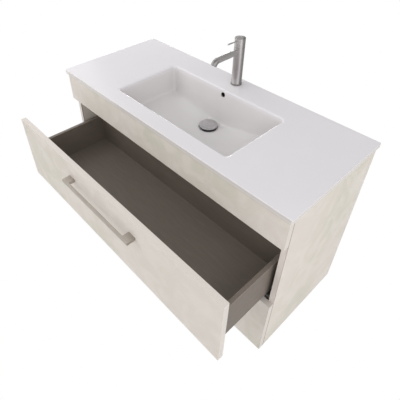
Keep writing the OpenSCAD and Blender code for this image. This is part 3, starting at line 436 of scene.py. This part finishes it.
def bowl_rings(grow):
    """The bowl's walls, the curve at their foot, and the floor, down to the waste."""
    rim, start = bowl_ring(0, 0), bowl_ring(0, 0, falls)
    feet = bowl_ring(0, 0, [fall + run for fall, run in zip(falls, curve_runs)])
    turns = []
    for edge, first, foot in zip(rim, start, feet):
        foot.z = floor_level(foot.x, foot.y)
        run_out = (back_curve - corner_curve) * behind(foot.x, foot.y)
        first.z = foot.z + corner_curve + run_out
        slant = (first.z - foot.z) / (top_level - first.z)
        turn = first + (first - edge) * slant
        rise = 2 * scooped(foot.x, foot.y) / scoop_run * (turn.xy - foot.xy).length
        turns.append(Vector((*turn.xy, foot.z + rise)))
    grown = [(b - a).xy for a, b in zip(start, bowl_ring(0, grow, falls))]
    rings = []
    for k in range(curve_steps + 1):
        t = k / curve_steps
        rings.append([])
        for first, turn, foot, out in zip(start, turns, feet, grown):
            p = first * (1 - t) ** 2 + turn * 2 * t * (1 - t) + foot * t * t
            rings[-1].append(p + Vector((*out, -grow)))
    dish = aimed(feet, dish_r, floor_low)
    for k in range(1, floor_steps + 1):
        t = k / floor_steps
        rings.append([])
        for foot, low, out in zip(feet, dish, grown):
            flat = foot.lerp(low, t)
            level = floor_level(flat.x, flat.y) - grow
            rings[-1].append(Vector((*(flat.xy + out * (1 - t)), level)))
    return rings


def slab_ring(inset, level, radius=plan_r):
    """A ring of the plate's edge, inset from its outline."""
    round_r = max(radius - inset, 0.0008)
    return rounded(half_wide - inset, -deep + inset, -inset, round_r, level)


def quarter():
    """How far in and how far down a quarter round has gone, step by step."""
    for k in range(round_steps + 1):
        a = math.radians(90 * k / round_steps)
        yield 1 - math.cos(a), 1 - math.sin(a)


def bar(half, near, far, low, high):
    """An upright bar on the top's middle line, with rounded corners."""
    return loft([rounded(half, near, far, bar_r, z) for z in (low, high)])


def rod(start, end, radius, sides):
    """A round bar between two points."""
    first, last = Vector(start), Vector(end)
    turn = (last - first).to_track_quat("Z", "Y").to_matrix().to_4x4()
    made = bmesh.new()
    bmesh.ops.create_cone(
        made,
        cap_ends=True,
        segments=sides,
        radius1=radius,
        radius2=radius,
        depth=(last - first).length,
        matrix=Matrix.Translation((first + last) / 2) @ turn,
    )
    return made


plate = [slab_ring(edge_wide, level, plan_r + edge_wide) for level in (plate_low, edge_low)]
plate += [
    slab_ring(inset, edge_low + rise)
    for inset, rise in ((0.0012, 0), (0.0003, 0.0004), (0, 0.0013))
]
plate += [slab_ring(edge_r * into, top_level - edge_r * down) for into, down in quarter()]
ceramic = placed("ceramic_top_glazed", loft(plate))


def join(made):
    carve(ceramic, placed("tool", made), "UNION")


def cut(made):
    carve(ceramic, placed("tool", made), "DIFFERENCE")


# The bowl's outside, the pad for the waste and the boss with its arm round the channel.
collar = [bowl_ring(0.0045, wall), bowl_ring(0.02, wall, [fall / 4 for fall in falls])]
join(loft(collar + bowl_rings(wall)))
pad = [(pad_r, floor_low - 0.004), (pad_r, pad_low + 0.002), (pad_r - 0.002, pad_low)]
join(loft([circle(radius, waste_y, level) for radius, level in pad]))
join(bar(boss_half, boss_near, boss_far, pad_low, boss_high))
join(bar(boss_half - 0.0003, waste_y, boss_far - 0.0004, pad_low, arm_high))

# The bowl's inside down to the seat of the waste, then the channel and its duct.
hollow = [bowl_ring(-0.003, rim_r + 0.0005, corner=rim_corner)]
for into, down in quarter():
    corner = rim_corner + (bowl_corner - rim_corner) * (1 - down)
    hollow.append(bowl_ring(rim_r * into, rim_r * down, corner=corner))
hollow += bowl_rings(0)
steps_in = [
    (seat_r + 0.0012, floor_low - 0.0002),
    (seat_r, floor_low - 0.0014),
    (seat_r, seat_low),
    (waste_r, seat_low - 0.0001),
    (waste_r, pad_low - 0.002),
]
hollow += [aimed(hollow[-1], radius, level) for radius, level in steps_in]
cut(loft(hollow))
cut(bar(channel_half, channel_near, channel_far, duct_low, channel_high))
cut(bar(channel_half, waste_y, channel_far - 0.0002, duct_low + 0.0001, duct_high))

# The mixer's hole with room for its fixing below, and the overflow's mouth.
tap_low = (0, tap_y, 0.07)
cut(rod(tap_low, (0, tap_y, top_level + 0.005), tap_hole_r, 64))
cut(rod(tap_low, (0, tap_y, plate_low), tap_room_r, 64))
overflow_end = (0, channel_near + 0.002, overflow_z)
cut(rod((0, overflow_near, overflow_z), overflow_end, overflow_r, 40))

glaze = Finish("white_glaze")
under = glaze.node("ShaderNodeTexCoord", out="Normal")
under = glaze.node("ShaderNodeSeparateXYZ", sockets={0: under}, out=2)
height = glaze.place(2)
bare = glaze.ramp(0 - under, 0.35, 0.6)
bare = bare * glaze.ramp(height, plate_low + 0.0025, plate_low + 0.0015)
cast = glaze.cloud(6, detail=2)
peel = glaze.cloud(95, detail=1)
clay = glaze.blend(glaze.cloud(40, detail=4), tone(222, 216, 205), tone(205, 198, 186))
white = glaze.blend(glaze.ramp(cast, 0.35, 0.65), tone(226, 223, 226), tone(224, 221, 224))
# Painted shade: the inside of the bowl is greyer than the plate, and greyer still towards
# its floor.
bowl_shade_white = glaze.blend(glaze.ramp(cast, 0.35, 0.65), tone(217, 213, 213), tone(215, 211, 211))
deeper_bowl_shade = glaze.blend(glaze.ramp(height, 0.025, -0.025), bowl_shade_white, tone(213, 210, 210))
in_bowl = glaze.ramp(height, top_level - 0.004, top_level - 0.020)
across, along = glaze.place(0).size(), glaze.place(1)
# Painted shade: the plate's front and side edge faces are darker than its top.
edge_face_shade = glaze.ramp(across, half_wide - 0.004, half_wide - 0.001)
edge_face_shade = edge_face_shade + glaze.ramp(along, 0.003 - deep, 0.001 - deep)
edge_face_shade = edge_face_shade * glaze.ramp(height, top_level - 0.001, top_level - 0.003)
white = glaze.blend(edge_face_shade, white, tone(214, 208, 202))
# Painted shade: the overflow channel is near black inside.
channel_shade = glaze.ramp(along, bowl_back - 0.0005, bowl_back + 0.0005)
channel_shade = channel_shade * (1 - along.above(channel_far + 0.001))
channel_shade = channel_shade * glaze.ramp(across, channel_half + 0.0006, channel_half + 0.0003)
channel_shade = channel_shade * glaze.ramp(height, plate_low + 0.0002, plate_low)
channel_shade = channel_shade * height.above(duct_low - 0.001)
glazed = glaze.blend(bare, glaze.blend(in_bowl, white, deeper_bowl_shade), clay)
ceramic.data.materials.clear()
ceramic.data.materials.append(
    glaze.close(
        glaze.blend(channel_shade, glazed, tone(48, 46, 45)),
        0.22 + cast * 0.06 + in_bowl * 0.10 + bare * 0.4,
        peel * 0.3 + cast * 0.4,
        0.00005,
        {"Coat Weight": 0.15, "Coat Roughness": 0.12},
    )
)
soften(ceramic, 0.0006, 2, 40)
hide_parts("ceramic_top")
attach(ceramic, "cabinet")


# ---------------------------------------------------------------------- waste
# Push-open waste: a turned brass body with a flange that beds in the dish, drawn
# down by a nut on a rubber seal, and a crowned plug that clicks open and shut.


def thread(finish, pitch, top):
    """The ridges of a screw thread round an upright axis, below a height."""
    here = finish.node("ShaderNodeTexCoord", out="Object")
    height = finish.node("ShaderNodeSeparateXYZ", sockets={0: here}, out=2)
    per_metre = math.pi / 10 / pitch
    ridges = finish.node(
        "ShaderNodeTexWave",
        {"wave_type": "BANDS", "bands_direction": "Z"},
        {"Vector": here, "Scale": per_metre},
    )
    return ridges * finish.ramp(height, top, top - 0.001)


def brushed(name, colour, rough, along, turned=None, tail=None, reflection_bands=0.0, shade=None):
    """Brushed nickel: fine scratches along an axis, or round an upright one.

    tail is a thread's pitch and its top. The broad streaks are painted reflections, darker
    bands along the axis as strong as the share given. shade is a painted dark reflection: a
    direction, and how far along it the metal starts to darken and ends."""
    finish = Finish(name)
    # The second and third tones are for painted reflections.
    scratch, band_reflection_tone, shaded = tone(150, 147, 146), tone(176, 173, 172), tone(128, 125, 124)
    if turned is None:
        stretch = [1.0 if axis != along else 0.02 for axis in range(3)]
        hair = finish.cloud(1500, stretch, detail=3)
        band = finish.cloud(190, stretch, detail=2)
    else:
        here = finish.node("ShaderNodeTexCoord", out="Object")
        flat = finish.node(
            "ShaderNodeVectorMath", {"operation": "SUBTRACT"}, {0: here, 1: turned}
        )
        flat = finish.node(
            "ShaderNodeVectorMath", {"operation": "MULTIPLY"}, {0: flat, 1: (1, 1, 0)}
        )
        away = finish.node(
            "ShaderNodeVectorMath", {"operation": "LENGTH"}, {0: flat}, out="Value"
        )
        hair = finish.node(
            "ShaderNodeTexNoise", {"noise_dimensions": "1D"}, {"W": away, "Scale": 2600.0}
        )
        band = finish.node(
            "ShaderNodeTexNoise", {"noise_dimensions": "1D"}, {"W": away, "Scale": 500.0}
        )
    smudge = finish.cloud(35, detail=3)
    metal = finish.blend(finish.ramp(hair, 0.3, 0.7, 0, 0.35), colour, scratch)
    # Painted reflection: broad darker streaks along the axis.
    if reflection_bands:
        broad_reflection = finish.ramp(finish.cloud(75, stretch, detail=1), 0.40, 0.60, 0, reflection_bands)
        metal = finish.blend(broad_reflection, metal, band_reflection_tone)
    # Painted reflection: the metal darkens along a direction.
    if shade:
        way, start, full = shade
        reach = finish.node(
            "ShaderNodeVectorMath",
            {"operation": "DOT_PRODUCT"},
            {0: finish.spot(), 1: way},
            out="Value",
        )
        metal = finish.blend(finish.ramp(reach, start, full, 0, 0.8), metal, shaded)
    relief = hair * 0.5 + band * 0.5
    if tail:
        relief = relief + thread(finish, *tail) * 25
    return finish.close(
        metal,
        rough + hair * 0.10 + smudge * 0.08,
        relief,
        0.00002,
        {"Metallic": 1.0, "Anisotropic": 0.5},
    )


turned_round, over_waste = 0.0005, (0, waste_y, 0)
plug_tone, body_tone = tone(202, 200, 201), tone(190, 189, 190)
tail_pitch, tail_top = 0.0023, -0.060
plug_nickel = brushed("plug_nickel", plug_tone, 0.20, None, over_waste)
body_nickel = brushed(
    "waste_nickel", body_tone, 0.20, None, over_waste, (tail_pitch, tail_top)
)
dress(["waste_plug"], plug_nickel, turned_round, 3)
dress(["waste_body"], body_nickel, turned_round)


def moulded(name, colour, rough, speck):
    """Moulded rubber or plastic with the fine tooth of its mould."""
    finish = Finish(name)
    chalk = tone(150, 148, 145)
    tooth = finish.cloud(speck, detail=2)
    bloom = finish.cloud(45, detail=3)
    worn = finish.blend(finish.ramp(bloom, 0.45, 0.75, 0, 0.3), colour, chalk)
    return finish.close(worn, rough + bloom * 0.15, tooth, 0.00006)


black_rubber = moulded("black_rubber", tone(36, 36, 37), 0.62, 700)
grey_plastic = moulded("grey_plastic", tone(120, 121, 123), 0.42, 900)
moulded_round = 0.0004
dress(["waste_seal", "tap_washer"], black_rubber, moulded_round)
dress(["waste_nut", "upper_clips", "lower_clips"], grey_plastic, moulded_round)


def turned_brass(name, pitch=None):
    """Turned brass with the rings of the tool, or with a thread along it."""
    finish = Finish(name)
    bright, tarnished = tone(206, 172, 100), tone(168, 134, 78)
    rings = finish.cloud(1100, (0.05, 0.05, 1), detail=2)
    dull = finish.cloud(50, detail=4)
    metal = finish.blend(finish.ramp(dull, 0.35, 0.7), bright, tarnished)
    relief = rings + thread(finish, pitch, 1.0) * 12 if pitch else rings
    return finish.close(metal, 0.26 + dull * 0.18, relief, 0.00003, {"Metallic": 1.0})


brass = turned_brass("turned_brass")
dress(["plug_cartridge"], brass, fitting_round)


# ---------------------------------------------------------------------- mixer
# Single-lever mixer in brushed nickel: ring, turned body, bent spout with its flow
# shaper, and a cap on a dome with the pin lever. Stud, clamp and nut hold it below.

# Painted reflection: a dark band down the far back of the column, a darker tip on the
# spout, and broad dark streaks up the body.
away_side = (0.78, 0.625, 0)
shade_from = away_side[1] * tap_y + 0.006
far_shade = (away_side, shade_from, shade_from + 0.005)
tip_shade = ((0, -1, 0), 0.143, 0.155)
mixer_nickel = brushed(
    "mixer_nickel", tone(226, 222, 221), 0.22, 2, reflection_bands=0.75, shade=far_shade
)
# Painted shade and reflection: the ring at the foot is a darker copy of the same nickel for
# the shade there, and the spout and lever a darker copy for their darker reflection.
ring_nickel = brushed("ring_nickel", tone(152, 149, 148), 0.26, None, (0, tap_y, 0))
spout_nickel = brushed("spout_nickel", tone(186, 183, 182), 0.26, 1, shade=tip_shade)
mixer_round, inner_round, stud_pitch = 0.0006, 0.0002, 0.00125
dress(["tap_base_ring"], ring_nickel, mixer_round, 3)
dress(["tap_body", "tap_cap", "tap_dome"], mixer_nickel, mixer_round, 3)
dress(["tap_spout", "tap_lever"], spout_nickel, turned_round, 3)
dress(["tap_aerator", "tap_cartridge", "tap_rotor"], grey_plastic, inner_round)
dress(["cartridge_nut", "tap_stem", "tap_nut"], brass, fitting_round)
dress(["tap_stud"], turned_brass("threaded_brass", stud_pitch), fitting_round)
dress(["tap_clamp"], zinc_plate, fitting_round)


# -------------------------------------------------------------------- runners
# Full-extension runners: three nested profiles of zinc-plated strip on each side
# under the drawer, the outer one screwed to the side panel.

levels = ("upper", "lower")
profiles = ("left_cabinet_rail", "right_cabinet_rail", "middle_rails", "drawer_rails")
for level in levels:
    dress([f"{level}_{profile}" for profile in profiles], zinc_plate, fitting_round)


# -------------------------------------------------------------------- drawers
# Each box is of 12 mm board in a dark taupe foil, the bottom held in grooves and
# the front screwed on from inside. The handle is one flat bar of brushed nickel.


def foil(name, along, lift=0):
    """The dark taupe foil, its faint printed grain along an axis; lift lightens it."""
    finish = Finish(name)
    stretch = [1.0 if axis != along else 0.06 for axis in range(3)]
    grain = finish.cloud(240, stretch, detail=3)
    fleck = finish.cloud(900, stretch, detail=2)
    drift = finish.cloud(5, detail=3)
    light = tone(118 + lift, 108 + lift, 99 + lift)
    dark = tone(112 + lift, 103 + lift, 95 + lift)
    rubbed = tone(130, 120, 111)
    base = finish.blend(finish.ramp(grain, 0.3, 0.7), light, dark)
    base = finish.blend(finish.ramp(drift, 0.4, 0.7, 0, 0.35), base, rubbed)
    rough = 0.48 + grain * 0.10 + drift * 0.06
    return finish.close(base, rough, grain * 0.5 + fleck * 0.5, 0.00005)


foil_sides, foil_across = foil("taupe_foil_sides", 1), foil("taupe_foil_across", 0)
# Painted light: the drawer bottoms take a lighter copy of the foil than the sides and ends.
foil_floor = foil("taupe_foil_floor", 0, 13)
# Painted highlight: an arris paler than the foil along the box edges.
foil_arris = arris("foil_arris", tone(150, 141, 131), tone(128, 119, 110))
foil_round, handle_round = 0.0006, 0.0006
for level in levels:
    dress([f"{level}_front"], face_laminate, board_round, 3, edge_highlight)
    sides = [f"{level}_left_side", f"{level}_right_side"]
    dress(sides, foil_sides, foil_round, 2, foil_arris)
    ends = [f"{level}_box_front", f"{level}_box_back"]
    dress(ends, foil_across, foil_round, 2, foil_arris)
    dress([f"{level}_bottom"], foil_floor, foil_round, 2, foil_arris)
    handle_nickel = brushed(f"{level}_handle_nickel", tone(184, 176, 167), 0.32, 0)
    dress([f"{level}_handle"], handle_nickel, handle_round, 3)
    dress([f"{level}_screws"], zinc_plate, fitting_round)


# ------------------------------------------------------- floor, light, camera
# A pale floor at the height that suits a basin hung 850 mm up, seen bleached to white
# like the room round it, soft boxes on all sides, and the camera where the picture of
# the piece was taken from.

floor_levels, floor_half, floor_r = (-0.80, -0.76), 6, 0.5
sheet = [rounded(floor_half, -floor_half, floor_half, floor_r, z) for z in floor_levels]
floor = placed("floor", loft(sheet))
paper = Finish("studio_paper")
mottle = paper.cloud(3, detail=3)
paper_tone = paper.blend(mottle, tone(236, 236, 236), tone(232, 232, 232))
matt = paper.node(
    "ShaderNodeBsdfPrincipled",
    sockets={"Base Color": paper_tone, "Roughness": 0.85 + mottle * 0.05},
)
white_light = {"Color": (1, 1, 1, 1), "Strength": 1.0}
bleached = paper.node("ShaderNodeEmission", sockets=white_light)
seen = paper.node("ShaderNodeLightPath", out="Is Camera Ray")
shown = paper.node("ShaderNodeMixShader", sockets={0: seen, 1: matt, 2: bleached})
paper.node("ShaderNodeOutputMaterial", sockets={"Surface": shown})
floor.data.materials.append(paper.material)

world = bpy.data.worlds.new("studio")
bpy.context.scene.world = world
world.use_nodes = True
backdrop = world.node_tree.nodes["Background"]
backdrop.inputs["Color"].default_value = (1, 1, 1, 1)
seen = world.node_tree.nodes.new("ShaderNodeLightPath")
glow = world.node_tree.nodes.new("ShaderNodeMapRange")
glow.inputs["To Min"].default_value = 0.48
glow.inputs["To Max"].default_value = 1.0
world.node_tree.links.new(seen.outputs["Is Camera Ray"], glow.inputs["Value"])
world.node_tree.links.new(glow.outputs[0], backdrop.inputs["Strength"])


def soft_box(name, place, target, width, height, power):
    lamp = bpy.data.lights.new(name, "AREA")
    lamp.shape, lamp.size, lamp.size_y, lamp.energy = "RECTANGLE", width, height, power
    box = bpy.data.objects.new(name, lamp)
    box.location = place
    way = Vector(target) - Vector(place)
    box.rotation_euler = way.to_track_quat("-Z", "Y").to_euler()
    bpy.context.scene.collection.objects.link(box)


soft_box("side_light", (3.2, -1.2, 1.1), (0.2, -0.2, -0.1), 5.8, 4.4, 94)
soft_box("front_light", (-1.0, -2.8, 1.4), (0, -0.3, -0.1), 3.8, 2.6, 27)
soft_box("left_light", (-2.9, -0.9, 1.5), (0.1, -0.2, 0), 4.4, 3.2, 48)
soft_box("rim_light", (-2.2, 1.5, 0.35), (0, -0.2, 0.1), 1.4, 0.4, 14)
soft_box("overhead", (-0.5, 0.3, 2.5), (0, -0.2, 0), 2.2, 1.6, 8)

lens = bpy.data.cameras.new("camera")
lens.sensor_width, lens.lens = 36.0, 35.0935
lens.shift_x, lens.shift_y = 0.040674, -0.117171
lens.clip_start, lens.clip_end = 0.05, 60
camera = bpy.data.objects.new("camera", lens)
camera.location = (0.7701291, -1.0029766, 0.7594238)
camera.rotation_euler = [math.radians(a) for a in (51.09328, 0.09677, 47.24708)]
bpy.context.scene.collection.objects.link(camera)
bpy.context.scene.camera = camera
bpy.context.scene.view_settings.view_transform = "Standard"
